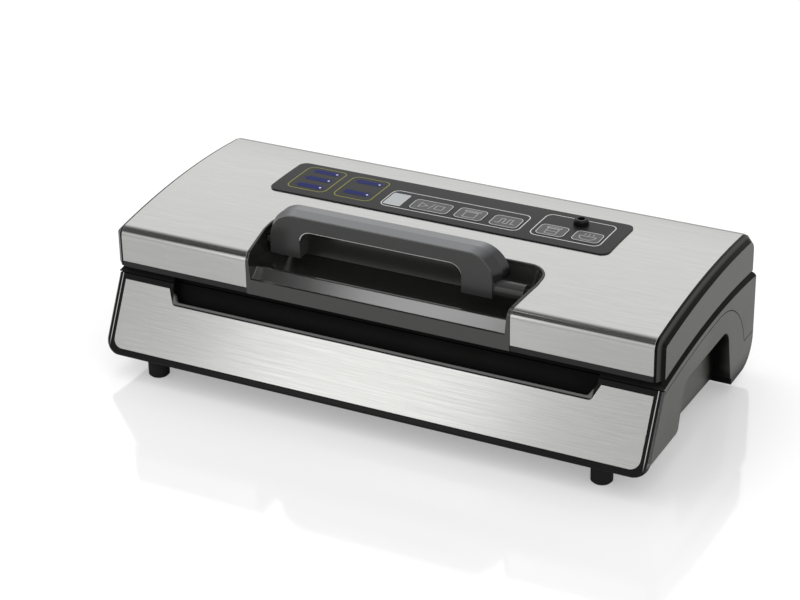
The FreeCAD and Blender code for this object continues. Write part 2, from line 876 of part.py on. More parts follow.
def lid_frame():
    """Moulded rim that carries the cover, with the bearings of the handle shaft."""
    seam = lid_thickness - rim_height
    frame = ring(0, rim_width, seam, lid_thickness)
    frame = frame.fuse(ring(sheet + fit, plug_wall, seam - rim_lip, seam + rim_height / 2))
    for bearing in both_sides(shaft_bearing):
        frame = frame.fuse(bearing)
    frame = frame.cut(shaft_line(shaft_radius + shaft_fit, -half, half))
    mouth = span(-half, half, depth, lid_front - rim_width - wall, 0, sky)
    frame = frame.cut(recess_plan(fit).common(mouth))
    for x in hinge_places:
        frame = frame.cut(knuckle_clear(x)).cut(hinge_tongue(x, fit))
    return frame.cut(rear_relief()).removeSplitter()


def knuckle_clear(x):
    """Room in the lid round all the knuckles of one hinge."""
    reach = lid_knuckle_length / 2 + base_knuckle_length + 2 * knuckle_gap
    return rod(x - reach, x + reach, hinge_setback, hinge_z, knuckle_radius + knuckle_clearance)


def hinge_tongue(x, grow):
    """Upright web of the lid knuckle."""
    reach = lid_knuckle_length / 2 + grow
    top = crown_z(hinge_setback, lid_thickness) + leaf_rise + grow
    return hinge_web_block(x - reach, x + reach, hinge_z, top, grow)


def hinge_leaf(x):
    """Lid half of a hinge: a knuckle, its web and a leaf inside the rim."""
    top = crown_z(hinge_setback, lid_thickness) + leaf_rise
    barrel = knuckle(x - lid_knuckle_length / 2, x + lid_knuckle_length / 2)
    leaf = span(x - lid_knuckle_length, x + lid_knuckle_length, hinge_setback + leaf_length,
                hinge_setback - hinge_web / 2, top, top + leaf_sheet)
    leaf = leaf.cut(frame_inside_clear())
    body = barrel.fuse(hinge_tongue(x, 0)).fuse(leaf)
    return body.cut(pin_hole(x)).removeSplitter()


def frame_inside_clear():
    """Space behind the inner lip of the rim, where the leaf may not reach."""
    return span(-half, half, lid_back + sheet + fit + plug_wall + fit, 0, 0, sky)


def lid_liner():
    """Underside moulding with grooves for the gasket and the press strip, hook slots and board posts."""
    inset = rim_width + fit
    outline = plate_outline(-sheet_half + inset, sheet_half - inset, lid_front - inset, lid_back + inset,
                            liner_corner)
    liner = crown_layer(outline, lid_thickness - liner_thickness, lid_thickness)
    for x, setback in post_places():
        post = Part.makeCylinder(post_radius, sky, Vector(x, fwd(setback), 0))
        post = post.cut(crown_body(lid_thickness - liner_thickness / 2))
        liner = liner.fuse(post.common(span(-half, half, depth, 0, 0, board_bottom)))
    liner = liner.cut(trough_ring(lid_thickness - gasket_seat, lid_thickness + wall))
    liner = liner.cut(seal_strip(trough_half + fit, strip_width + 2 * fit, lid_thickness - gasket_rise,
                                 lid_thickness + wall))
    for slot in both_sides(hook_slot):
        liner = liner.cut(slot)
    for x, setback in post_places():
        liner = liner.cut(liner_screw(x, setback, fit))
    for x in hinge_places:
        liner = liner.cut(knuckle_clear(x))
    return liner.removeSplitter()


def hook_slot():
    reach = hook_thickness / 2 + hook_side_gap
    return span(latch_x - reach, latch_x + reach, pivot_setback + hook_reach - hook_toe_height,
                pivot_setback - hook_toe - hook_arm / 2 - hook_swing_gap, 0, pivot_height)


def recess_inside():
    """Hollow of the recess: sloping walls from the floor up to the rim, upright above it."""
    rim_z = crown_z(recess_shoulder, 0)
    floor = recess_wire(recess_front_half - recess_front_slope, recess_wide_half - recess_side_slope,
                        recess_back + recess_back_slope, recess_floor_corner, recess_floor)
    rim = recess_wire(recess_front_half - recess_rim, recess_wide_half - recess_rim, recess_back + recess_rim,
                      recess_corner - recess_rim, rim_z)
    return Part.makeLoft([floor, rim], True, True).fuse(Part.Face(rim).extrude(Vector(0, 0, sky - rim_z)))


def recess_apron():
    """Sloping step across the front of the recess, with a round crest."""
    foot = lid_front - apron_ledge
    crest = recess_floor + apron_rise
    front = foot - apron_depth
    rear = front - apron_crest
    outline = [(foot, recess_floor - recess_skin), (foot, recess_floor), (front, crest), (rear, crest),
               (rear, recess_floor - recess_skin)]
    apron = side_prism(outline, -recess_front_half, recess_front_half)
    return round_x_edges(apron, apron_round, [(front, crest), (rear, crest)])


def handle_recess():
    """Gloss moulding that lines the recess, with a front lip and a sloping apron."""
    shell = lid_solid(-recess_proud, -half, half).common(recess_plan(-fit))
    body = shell.common(span(-half, half, beyond, 0, recess_floor - recess_skin, sky))
    lip = shell.common(span(-half, half, beyond, lid_front - lip_thickness, 0, recess_floor))
    body = body.fuse(lip.cut(crown_body(lid_thickness))).cut(recess_inside())
    body = body.fuse(recess_apron().common(shell))
    body = body.cut(shaft_line(shaft_radius + shaft_fit, -half, half))
    liner_room = crown_body(lid_thickness - liner_thickness - fit)
    behind_lip = span(-half, half, lid_front - lip_thickness - fit, 0, 0, sky)
    return body.cut(liner_room.common(behind_lip)).removeSplitter()


def hoop_wire(setback, flare, rise):
    """Outline of the handle seen from the front, wider by flare at each end and higher by rise."""
    x0 = handle_left - flare
    x1 = handle_right + flare
    low = pivot_height - handle_hub
    top = handle_top + rise
    radius = handle_corner + (flare + rise) / 2
    knee = radius * (1 - math.sqrt(0.5))

    def at(x, z):
        return Vector(x, fwd(setback), z)

    return Part.Wire([
        Part.LineSegment(at(x0, low), at(x0, top - radius)).toShape(),
        Part.Arc(at(x0, top - radius), at(x0 + knee, top - knee), at(x0 + radius, top)).toShape(),
        Part.LineSegment(at(x0 + radius, top), at(x1 - radius, top)).toShape(),
        Part.Arc(at(x1 - radius, top), at(x1 - knee, top - knee), at(x1, top - radius)).toShape(),
        Part.LineSegment(at(x1, top - radius), at(x1, low)).toShape(),
        Part.LineSegment(at(x1, low), at(x0, low)).toShape(),
    ])


def hoop(inset):
    """Solid arch of the handle drawn in by inset, over its whole depth."""
    return Part.Face(hoop_wire(handle_front, -inset, -inset)).extrude(Vector(0, handle_depth, 0))


def finger_gap():
    """Opening under the bar, between the legs."""
    x0 = handle_left + leg_width
    x1 = handle_right - leg_width
    top = handle_top - bar_height
    gap = span(x0, x1, handle_front + overshoot, handle_rear - overshoot, 0, top)
    corners = [edge for edge in gap.Edges if edge.BoundBox.ZMin > top - near and edge.BoundBox.XLength < near]
    return gap.makeFillet(handle_inner_corner, corners)


def handle_cover():
    """Metallic band over the top and the ends of the handle, with a ridge along its middle."""
    sections = [hoop_wire(handle_front - cover_lip, 0, 0),
                hoop_wire(cover_crest_setback, cover_crest_flare, cover_crest_rise),
                hoop_wire(handle_rear, cover_rear_flare, cover_rear_rise)]
    band = Part.makeLoft(sections, True, True).cut(hoop(cover_thickness))
    return band.common(span(-half, half, beyond, 0, cover_low, sky)).removeSplitter()


def hub(x0, x1):
    """Round end of a leg on the pivot line."""
    return shaft_line(handle_hub, x0, x1)


def handle_grip():
    """Black arch with a finger gap, and hubs that reach out to the sides of the recess."""
    reach = recess_wide_half - recess_side_slope + hub_reach
    grip = hoop(0).cut(handle_cover()).cut(finger_gap())
    grip = grip.cut(span(-half, half, pivot_setback, handle_rear - overshoot, 0, cover_low))
    grip = grip.fuse(hub(-reach, handle_left + leg_width)).fuse(hub(handle_right - leg_width, reach))
    front_edges = [edge for edge in grip.Edges if edge.BoundBox.YMax < fwd(handle_front) + near
                   and pivot_height < edge.BoundBox.ZMax < handle_top - near
                   and handle_left + near < edge.CenterOfMass.x < handle_right - near]
    grip = grip.makeFillet(handle_edge, front_edges)
    for x0, x1 in shaft_runs():
        grip = grip.cut(shaft_line(shaft_radius + fit / 2, x0, x1))
    return grip.removeSplitter()


def shaft_runs():
    """Ends of the left and the right shaft."""
    tip = sheet_half - shaft_side
    return (-tip, handle_left + shaft_bite), (handle_right - shaft_bite, tip)


def latch_hook():
    """Hook on the right-hand shaft, modelled locked and swung back to the open place."""
    x0 = latch_x - hook_thickness / 2
    x1 = latch_x + hook_thickness / 2
    low = pivot_height - hook_length
    arm = span(x0, x1, pivot_setback + hook_arm / 2, pivot_setback - hook_arm / 2, low, pivot_height)
    toe = span(x0, x1, pivot_setback, pivot_setback - hook_arm / 2 - hook_toe, low, low + hook_toe_height)
    eye = shaft_line(shaft_radius + hook_arm / 2, x0, x1)
    hook = arm.fuse(toe).fuse(eye).cut(shaft_line(shaft_radius + fit / 2, -half, half)).removeSplitter()
    hook.rotate(Vector(0, fwd(pivot_setback), pivot_height), X, -handle_swing)
    return hook


def panel_plan(place, corner, grow):
    """Outline on the control panel: ends as shares of its half width, and two setbacks, enlarged by grow."""
    left, right, front, rear = place
    x0 = left * panel_half - grow
    x1 = right * panel_half + grow
    return plate_outline(x0, x1, front + grow, rear - grow, corner + grow)


def key_plan(name, grow):
    return panel_plan(keys[name], key_corner, grow)


def key_centre(name):
    left, right, front, rear = keys[name]
    return (left + right) / 2 * panel_half, (front + rear) / 2


def key(name):
    """Key cap with a flange that the overlay holds down and a stem over its switch."""
    x, setback = key_centre(name)
    cap = crown_layer(key_plan(name, 0), -overlay_rise - key_rise, key_bottom)
    flange = crown_layer(key_plan(name, key_flange), key_bottom - key_flange_thickness, key_bottom)
    stem = Part.makeCylinder(key_stem_radius, key_stem + sheet, Vector(x, fwd(setback), stem_end))
    return cap.fuse(flange).fuse(stem).removeSplitter()


def lens_plans(grow):
    for left, setbacks in lens_columns:
        for setback in setbacks:
            place = (left, left + lens_share, setback + lens_height / 2, setback - lens_height / 2)
            yield panel_plan(place, window_corner, grow)


def display_plan(grow):
    return panel_plan(display, window_corner, grow)


def port_column(radius):
    return Part.makeCylinder(radius, sky, Vector(port_share * panel_half, fwd(port_setback), 0))


def panel_overlay():
    """Control panel skin with openings for the keys, the display, the indicators and the hose port."""
    plan = plate_outline(-panel_half, panel_half, overlay_front, overlay_back, overlay_corner)
    skin = crown_layer(plan, -overlay_rise, -overlay_seat)
    openings = [key_plan(name, key_gap) for name in keys]
    openings += [display_plan(window_gap), *lens_plans(window_gap)]
    for plan in openings:
        skin = skin.cut(plan.extrude(Vector(0, 0, sky)))
    return skin.cut(port_column(port_radius + window_gap))


def indicator_lenses():
    return [crown_layer(plan, -overlay_rise, window_depth) for plan in lens_plans(0)]


def display_window():
    return crown_layer(display_plan(0), -overlay_rise, window_depth)


def accessory_port():
    """Hose port that stands out of the panel, with a flange under the skin."""
    top = crown_z(port_setback, 0) + port_rise
    base = crown_z(port_setback, 0) - port_depth
    centre = Vector(port_share * panel_half, fwd(port_setback), base)
    stem = Part.makeCylinder(port_radius, top - base, centre)
    stem = stem.makeChamfer(port_bevel, [edge for edge in stem.Edges if edge.BoundBox.ZMin > top - near])
    flange_foot = centre + Vector(0, 0, port_depth - 2 * port_flange)
    flange = Part.makeCylinder(port_radius + port_flange, port_flange, flange_foot)
    return stem.fuse(flange).cut(port_column(port_bore)).removeSplitter()


def board_plan():
    return -panel_half + 2 * board_margin, panel_half - board_margin, overlay_front - board_margin, board_back


def control_board():
    x0, x1, front, rear = board_plan()
    return span(x0, x1, front, rear, board_bottom, board_bottom + board_thickness)


def post_places():
    x0, x1, front, rear = board_plan()
    inset = 2 * post_radius
    for x in (x0 + inset, 0, x1 - inset):
        for setback in (front - inset, rear + inset):
            yield x, setback


def key_switches():
    top = board_bottom + board_thickness
    switches = []
    for name in keys:
        x, setback = key_centre(name)
        reach = switch_size / 2
        case = span(x - reach, x + reach, setback + reach, setback - reach, top, top + switch_height)
        button = Part.makeCylinder(button_radius, button_height, Vector(x, fwd(setback), top + switch_height))
        switches.append(case.fuse(button).removeSplitter())
    return switches


def floor_z(setback):
    """Inner face of the base floor at a distance from the back."""
    if setback < rear_leg_front:
        return rear_foot_height + wall
    share = min(1.0, (setback - rear_leg_front) / (arch_front_top - rear_leg_front))
    return underside_rear + share * (front_foot_height - underside_rear) + wall


def pump_motor():
    centre_z = floor_z(nozzle_setback) + motor_radius + seat_gap
    can = rod(pump_x - motor_length, pump_x, nozzle_setback, centre_z, motor_radius)
    end = pump_x - motor_length
    shaft = rod(end - motor_shaft, end, nozzle_setback, centre_z, pin_radius)
    return can.fuse(shaft).removeSplitter()


def pump_head():
    front = nozzle_setback + pump_width / 2
    low = floor_z(front) + seat_gap
    end = pump_x + pump_length
    head = span(pump_x, end, front, front - pump_width, low, low + pump_height)
    inlet = rod(end, end + nozzle_tail, nozzle_setback, hose_height, nozzle_bore)
    return head.fuse(inlet).removeSplitter()


def vacuum_hose():
    """Hose from the intake nozzle down and across to the pump."""
    top = trough_floor - nozzle_tail
    corner = Vector(nozzle_x, fwd(nozzle_setback), hose_height)
    start = Vector(corner.x, corner.y, top)
    down = Vector(corner.x, corner.y, hose_height + hose_bend)
    across = Vector(corner.x - hose_bend, corner.y, hose_height)
    middle = corner + Vector(-1, 0, 1) * (hose_bend * (1 - math.sqrt(0.5)))
    end = Vector(pump_x + pump_length + nozzle_tail, corner.y, hose_height)
    path = Part.Wire([Part.LineSegment(start, down).toShape(), Part.Arc(down, middle, across).toShape(),
                      Part.LineSegment(across, end).toShape()])
    tubes = [path.makePipe(Part.Face(Part.Wire(Part.makeCircle(radius, start, Z))))
             for radius in (nozzle_radius, nozzle_bore)]
    return tubes[0].cut(tubes[1])


def transformer():
    """Laminated core with a coil on each side."""
    front = core_setback + core_width / 2
    rear = core_setback - core_width / 2
    low = floor_z(front) + seat_gap
    core = span(core_x, core_x + core_length, front, rear, low, low + core_height)
    middle = low + core_height / 2
    coil = span(core_x + coil_margin, core_x + core_length - coil_margin,
                front + coil_margin, rear - coil_margin, middle - coil_height / 2, middle + coil_height / 2)
    return core.fuse(coil).removeSplitter()


def main_board_posts():
    """Posts on the base floor under the corners of the main board."""
    rear = main_board_setback - main_board_width
    for x in (main_board_x + post_radius, main_board_x + main_board_length - post_radius):
        for setback in (main_board_setback - post_radius, rear + post_radius):
            low = floor_z(setback) - wall / 2
            yield Part.makeCylinder(post_radius, main_board_z - low, Vector(x, fwd(setback), low))


def main_board():
    rear = main_board_setback - main_board_width
    return span(main_board_x, main_board_x + main_board_length, main_board_setback, rear,
                main_board_z, main_board_z + board_thickness)


def lid_switch():
    """Microswitch under the deck that feels the closed lid."""
    top = crown_z(lid_switch_setback + switch_size, base_drop + deck) - seat_gap
    return span(lid_switch_x, lid_switch_x + 3 * switch_size, lid_switch_setback + switch_size / 2,
                lid_switch_setback - switch_size / 2, top - 2 * switch_size, top)


def base_screw_places():
    for x in (-screw_x, screw_x):
        for setback in (arch_front_top, arch_rear_top):
            yield x, setback


def screw(x, setback, low, head_radius, length, grow):
    """Screw driven in from below; grow widens it into the hole that it takes."""
    open_below = wall if grow > 0 else 0
    head = Part.makeCylinder(head_radius + grow, screw_head_height + grow + open_below,
                             Vector(x, fwd(setback), low - open_below))
    shank = Part.makeCylinder(screw_radius + grow, length + grow, Vector(x, fwd(setback), low))
    return head.fuse(shank).removeSplitter()


def base_screw(x, setback, grow):
    return screw(x, setback, floor_z(setback) - wall, screw_head, screw_length, grow)


def liner_screw(x, setback, grow):
    return screw(x, setback, crown_z(setback, lid_thickness), liner_screw_head, liner_screw_length, grow)


export("lower_housing", lower_housing())
export("upper_housing", upper_housing())
export("front_bezel", front_bezel())
export("front_panel", front_panel())
export("front_feet", *[foot(*place) for place in foot_places() if place[2] == front_foot_height])
export("rear_feet", *[foot(*place) for place in foot_places() if place[2] == rear_foot_height])
export("lower_gasket", trough_ring(base_drop - gasket_rise, base_drop + gasket_seat))
export("drip_tray", drip_tray())
seal_bar_top = base_drop - seal_bar_rise
heater_top = seal_bar_top - heater_thickness
export("seal_bar", seal_strip(seal_bar_half, seal_bar_width, seal_bar_top, base_drop + seal_bar_depth))
export("heating_strip", seal_strip(trough_half, heater_width, heater_top, heater_top + heater_thickness))
export("ptfe_tape", seal_strip(trough_half, tape_width, heater_top - tape_thickness, heater_top))
export("latch_catches", *both_sides(latch_catch))
export("hinge_brackets", *[base_knuckles(x) for x in hinge_places])
export("hinge_pins", *[hinge_pin(x) for x in hinge_places])
export("cord_gland", cord_gland())
export("intake_nozzle", intake_nozzle())
export("vacuum_hose", vacuum_hose())
export("pump_motor", pump_motor())
export("pump_head", pump_head())
export("transformer", transformer())
export("main_board", main_board())
export("lid_switch", lid_switch())
export("base_screws", *[base_screw(x, setback, 0) for x, setback in base_screw_places()])
export("steel_cover", steel_cover())
right_cap, left_cap = both_sides(end_cap)
export("right_end_cap", right_cap)
export("left_end_cap", left_cap)
export("lid_frame", lid_frame())
export("hinge_leaves", *[hinge_leaf(x) for x in hinge_places])
export("lid_liner", lid_liner())
export("liner_screws", *[liner_screw(x, setback, 0) for x, setback in post_places()])
export("upper_gasket", trough_ring(lid_thickness - gasket_seat, lid_thickness + gasket_rise))
export("silicone_strip", seal_strip(trough_half, strip_width, lid_thickness - gasket_rise,
                                    lid_thickness + gasket_rise))
export("handle_recess", handle_recess())
export("panel_overlay", panel_overlay())
export("display_window", display_window())
export("indicator_lenses", *indicator_lenses())
export("accessory_port", accessory_port())
export("control_board", control_board())
export("key_switches", *key_switches())
export("handle_grip", handle_grip())
export("handle_cover", handle_cover())
export("handle_shafts", *[shaft_line(shaft_radius, x0, x1) for x0, x1 in shaft_runs()])
export("latch_hooks", *both_sides(latch_hook))
for key_name in keys:
    export(key_name, key(key_name))
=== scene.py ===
import bpy
import bmesh
import json
import math
from mathutils import Matrix, Vector
from mathutils.bvhtree import BVHTree


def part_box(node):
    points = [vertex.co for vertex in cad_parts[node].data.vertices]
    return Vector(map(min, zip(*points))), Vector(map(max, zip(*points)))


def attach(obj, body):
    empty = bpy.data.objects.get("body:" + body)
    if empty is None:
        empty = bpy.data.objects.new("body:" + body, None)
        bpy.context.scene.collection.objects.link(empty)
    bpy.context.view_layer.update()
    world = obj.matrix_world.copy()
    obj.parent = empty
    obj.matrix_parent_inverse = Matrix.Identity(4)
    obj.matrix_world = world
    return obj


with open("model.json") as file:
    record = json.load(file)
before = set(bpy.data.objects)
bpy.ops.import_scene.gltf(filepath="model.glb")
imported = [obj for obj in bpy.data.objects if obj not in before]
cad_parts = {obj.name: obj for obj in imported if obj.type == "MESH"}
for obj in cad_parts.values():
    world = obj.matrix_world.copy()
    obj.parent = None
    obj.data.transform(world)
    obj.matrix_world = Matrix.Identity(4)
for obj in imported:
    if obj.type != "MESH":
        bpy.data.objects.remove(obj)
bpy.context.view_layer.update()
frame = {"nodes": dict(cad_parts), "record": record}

# Lengths in metres
MM = 0.001
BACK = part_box("lower_housing")[1][1]
ABOVE = 1.0

# View of the photograph: focal length in pixels of the 800 x 600 frame, turn, tilt and roll in degrees
FOCAL_PIXELS = 2375.7
FRAME_WIDTH = 800
SENSOR = 36.0
FAR_CLIP = 50.0
VIEW_TURN = 27.48
VIEW_TILT = 26.72
VIEW_ROLL = -0.99
VIEW_DISTANCE = 1635.3 * MM
VIEW_TARGET = Vector((-24.4, 7.4, 45.6)) * MM

# Light level for matt surfaces, and the floor with the glow that only the camera sees
WORLD_LEVEL = 0.86
FLOOR_REACH = 6.0
FLOOR_COLOUR = (0.72, 0.72, 0.72)
FLOOR_ROUGHNESS = 0.08
FLOOR_IOR = 2.0
FLOOR_GLOW = 0.34

# What mirrors see: a plain level, and cards with levels by degrees from the front up and over to the back
MIRROR_PLAIN = 0.8
CARD_LEVELS = (
    (0, 0.52), (14, 0.68), (26, 0.68), (39, 0.04), (90, 0.04),
    (114, 0.50), (132, 0.98), (160, 1.0), (172, 0.50), (180, 0.40),
)

# Share of the cards by direction, from the left at -1 to the right at 1
CARD_SHARES = ((-1.0, 0.0), (-0.72, 0.0), (-0.58, 1.0), (-0.2, 1.0), (-0.06, 0.0), (1.0, 0.0))

# Lamps: name, place, target, width and height in metres, power in watts, and whether mirrors show the lamp
LAMPS = (
    ("key_light", (-0.7, 0.5, 1.9), (0, 0, 0.05), (1.4, 1.0), 5, False),
    ("strip_light", (-0.433, -0.25, 1.16), (0.02, -0.07, 0.09), (0.134, 0.22), 0.142, True),
    ("side_light", (1.1, -0.5, 0.2), (0.2, -0.05, 0.06), (0.07, 0.5), 1.0, True),
    ("front_light", (-0.41, -0.91, 0.43), (0, -0.085, 0.04), (0.3, 0.5), 0.36, True),
)

# Grain of the finishes in cells per metre, and the part of a noise's range that is spread out
BRUSH_LINES = (7, 2400, 2400)
BRUSH_STREAKS = (40, 1300, 1300)
MOULD_GRAIN = 2600
MOULD_CLOUD = 26
LACQUER_GRAIN = 900
SATIN_GRAIN = 6000
CAST_CLOUD = 180
PRINT_FLECK = 4000
NOISE_RANGE = (0.35, 0.65)
COLOUR_RANGE = (0.3, 0.7)

# Bands of painted highlight within one finish: insets in millimetres from an end where each starts, is full,
# fades and is gone
CAP_HIGHLIGHT = (4.6, 4.1, 3.2, 2.0)
BEZEL_HIGHLIGHT = (3.6, 3.4, 3.1, 2.9)

# Soft limits of the other painted highlights in millimetres: heights, insets from an end and drops below the
# top
BEZEL_HIGHLIGHT_HEIGHTS = (20, 27)
LIP_INSETS = (46, 45)
LIP_DROPS = (12.7, 12.2)
GRIP_HIGHLIGHT_HEIGHTS = (104, 106)

# Room in millimetres within which a surface of the housing counts as shut in and gets painted shade
GAP_DEPTH = 22

# Print on the control panel
PRINT_LIFT = 0.01 * MM
PRINT_THICKNESS = 0.05 * MM
PRINT_STEP = 3.0 * MM
FRAME_LINE = 0.65 * MM
KEY_LINE = 0.4 * MM
ICON_LINE = 0.42 * MM
KEY_LINE_INSET = 0.45 * MM
KEY_FLANGE = 0.8 * MM
KEY_LINE_CORNER = 3.1 * MM
FRAME_CORNER = 5.0 * MM
WINDOW_LINE_INSET = 0.3 * MM
WINDOW_LINE_CORNER = 0.8 * MM
CORNER_STEPS = 6
DOT_CORNERS = 12
SHARPEST_MITRE = 0.3

# Places on the panel in millimetres: left, right, then front and rear as distances from the back
WHITE_FRAMES = ((-44.5, 59.0, 80.7, 54.5), (67.0, 117.3, 80.3, 45.0))
YELLOW_FRAMES = ((-117.5, -87.5, 80.5, 43.0), (-81.0, -52.5, 80.5, 45.0))

# Indicator bars in millimetres: the left end of each column, and each bar's distance from the back
BAR_COLUMNS = ((-112.65, (49.0, 61.5, 74.0)), (-77.47, (52.0, 71.0)))
BAR_LENGTH = 22.0
BAR_HEIGHT = 5.6
BAR_POINT = 2.0
DOT_RADIUS = 0.9
DOT_INSET = 3.0

# Generic marks on the keys: lines of points in millimetres from the middle of the key, and whether they close
KEY_MARKS = {
    "key_auto": (([(-8.5, -3.4), (-8.5, 3.4), (-2.8, 0)], True),
                 ([(-0.8, -4.2), (1.2, 4.2)], False),
                 ([(3.2, -2.9), (9, -2.9), (9, 2.9), (3.2, 2.9)], True)),
    "key_seal": (([(-4.4, -5.2), (4.4, -5.2), (4.4, 2.4), (-4.4, 2.4)], True),
                 ([(-6.4, 3.6), (6.4, 3.6)], False),
                 ([(-6.4, 5), (6.4, 5)], False)),
    "key_pulse": (([(-7, -3.4), (-4.2, -3.4), (-4.2, 3.4), (-1.4, 3.4), (-1.4, -3.4), (1.4, -3.4),
                    (1.4, 3.4), (4.2, 3.4), (4.2, -3.4), (7, -3.4)], False),),
    "key_canister": (([(-4, -5.2), (4, -5.2), (4, 2.4), (-4, 2.4)], True),
                     ([(-5, 3.2), (5, 3.2), (5, 5), (-5, 5)], True),
                     ([(-4, -1.4), (4, -1.4)], False)),
    "key_marinate": (([(-6, 0.6), (-5.2, -2.4), (-2.6, -4.6), (2.6, -4.6), (5.2, -2.4), (6, 0.6)], True),
                     ([(-3, 2.2), (-3, 4.8)], False),
                     ([(0, 2.2), (0, 4.8)], False),
                     ([(3, 2.2), (3, 4.8)], False)),
}


def node_object(name):
    return frame["nodes"][name]


# Trees of shader nodes


class NodeTree:
    """Short helpers that build a tree of shader nodes."""

    def __init__(self, tree):
        self.tree = tree

    def node(self, kind, **values):
        node = self.tree.nodes.new(kind)
        for key, value in values.items():
            setattr(node, key, value)
        return node

    def feed(self, socket, value):
        """Give a socket the output of a node, a colour of three numbers, or one number."""
        if isinstance(value, bpy.types.NodeSocket):
            self.tree.links.new(value, socket)
        elif isinstance(value, tuple):
            socket.default_value = (*value, 1.0)
        else:
            socket.default_value = value

    def coordinate(self, kind, axis):
        """One component of a texture coordinate."""
        source = self.node("ShaderNodeTexCoord")
        split = self.node("ShaderNodeSeparateXYZ")
        self.feed(split.inputs["Vector"], source.outputs[kind])
        return split.outputs[axis]

    def math(self, operation, source, other=0.0):
        node = self.node("ShaderNodeMath", operation=operation)
        self.feed(node.inputs[0], source)
        self.feed(node.inputs[1], other)
        return node.outputs["Value"]

    def product(self, first, *others):
        for other in others:
            first = self.math("MULTIPLY", first, other)
        return first

    def spread(self, source, low, high, start=0.0, end=1.0):
        """Range of numbers from low to high, as the source goes from start to end."""
        node = self.node("ShaderNodeMapRange")
        self.feed(node.inputs["Value"], source)
        for socket, limit in (("From Min", start), ("From Max", end), ("To Min", low), ("To Max", high)):
            self.feed(node.inputs[socket], limit)
        return node.outputs["Result"]


# Materials


class Finish(NodeTree):
    """A material made of nodes, with helpers for its procedural detail."""

    def __init__(self, name, colour, roughness, metallic=0.0):
        self.material = bpy.data.materials.new(name)
        self.material.use_nodes = True
        super().__init__(self.material.node_tree)
        self.shader = self.tree.nodes["Principled BSDF"]
        self.set("Base Color", colour)
        self.set("Roughness", roughness)
        self.set("Metallic", metallic)
        self.colour = colour
        self.material.diffuse_color = (*colour, 1.0)

    def set(self, socket, value):
        """Give the shader a number, a colour or the output of a node."""
        self.feed(self.shader.inputs[socket], value)

    def noise(self, cells, detail=2.0):
        """Noise over the object's own coordinates: cells per metre, one number or one for each axis."""
        place = self.node("ShaderNodeTexCoord")
        mapping = self.node("ShaderNodeMapping")
        mapping.inputs["Scale"].default_value = cells if isinstance(cells, tuple) else (cells, cells, cells)
        texture = self.node("ShaderNodeTexNoise")
        self.feed(texture.inputs["Scale"], 1.0)
        self.feed(texture.inputs["Detail"], detail)
        self.feed(mapping.inputs["Vector"], place.outputs["Object"])
        self.feed(texture.inputs["Vector"], mapping.outputs["Vector"])
        return texture.outputs["Fac"]

    def facing(self, axis):
        """One component of the surface normal in the object's own frame."""
        return self.coordinate("Normal", axis)

    def place(self, axis):
        """One coordinate of the surface in the object's own frame."""
        return self.coordinate("Object", axis)

    def sideways(self, source):
        """Size of an X component, the same on the left and the right."""
        return self.math("ABSOLUTE", source("X"))

    def band(self, end, insets):
        """Stripe down both sides of the part, by four insets in millimetres from its end."""
        across = self.sideways(self.place)
        start, full, fade, gone = (end - inset * MM for inset in insets)
        rise = self.spread(across, 0.0, 1.0, start, full)
        fall = self.spread(across, 1.0, 0.0, fade, gone)
        return self.product(rise, fall)

    def above(self, heights):
        """Share that goes from 0 to 1 between two heights in millimetres."""
        low, high = heights
        return self.spread(self.place("Z"), 0.0, 1.0, low * MM, high * MM)

    def vary_roughness(self, source, low, high):
        self.set("Roughness", self.spread(source, low, high, *NOISE_RANGE))

    def vary_colour(self, source, dark, light):
        """Colour that goes from dark to light times its own value; returns the colour output."""
        ramp = self.node("ShaderNodeValToRGB")
        for element, place, times in zip(ramp.color_ramp.elements, COLOUR_RANGE, (dark, light)):
            element.position = place
            element.color = (*[min(1.0, channel * times) for channel in self.colour], 1.0)
        self.feed(ramp.inputs["Fac"], source)
        self.set("Base Color", ramp.outputs["Color"])
        return ramp.outputs["Color"]

    def blend_colour(self, factor, first, second):
        """Base colour from first, where the factor is 0, to second; returns the colour output."""
        mix = self.node("ShaderNodeMix", data_type="RGBA")
        self.feed(mix.inputs["Factor"], factor)
        colours = [socket for socket in mix.inputs if socket.type == "RGBA"]
        for socket, value in zip(colours, (first, second)):
            self.feed(socket, value)
        result = [socket for socket in mix.outputs if socket.type == "RGBA"][0]
        self.set("Base Color", result)
        return result

    def bump(self, source, depth, edge):
        """Relief of the given depth, and edges rounded by a radius, both in millimetres."""
        bump = self.node("ShaderNodeBump")
        self.feed(bump.inputs["Distance"], depth * MM)
        self.feed(bump.inputs["Strength"], 1.0)
        self.feed(bump.inputs["Height"], source)
        bevel = self.node("ShaderNodeBevel", samples=6)
        self.feed(bevel.inputs["Radius"], edge * MM)
        self.feed(bump.inputs["Normal"], bevel.outputs["Normal"])
        self.set("Normal", bump.outputs["Normal"])

    def mould(self, low, high, grain, depth, edge):
        """Fine grain, and a slow cloud in gloss and colour; returns the colour output."""
        cloud = self.noise(MOULD_CLOUD, 3.0)
        self.vary_roughness(cloud, low, high)
        self.bump(self.noise(grain), depth, edge)
        return self.vary_colour(cloud, 0.9, 1.1)


def brushed_steel(name, colour, low, high):
    """Sheet with fine brushing along its length."""
    finish = Finish(name, colour, (low + high) / 2, 1.0)
    lines = finish.noise(BRUSH_LINES)
    finish.vary_roughness(lines, low, high)
    finish.vary_colour(finish.noise(BRUSH_STREAKS), 0.955, 1.035)
    finish.bump(lines, depth=0.003, edge=0.4)
    return finish.material


def moulded(name, colour, low, high, grain=MOULD_GRAIN, depth=0.02, gloss=0.5):
    """Moulded plastic with a fine grain."""
    finish = Finish(name, colour, (low + high) / 2)
    finish.set("Specular IOR Level", gloss)
    finish.mould(low, high, grain, depth, edge=0.5)
    return finish.material


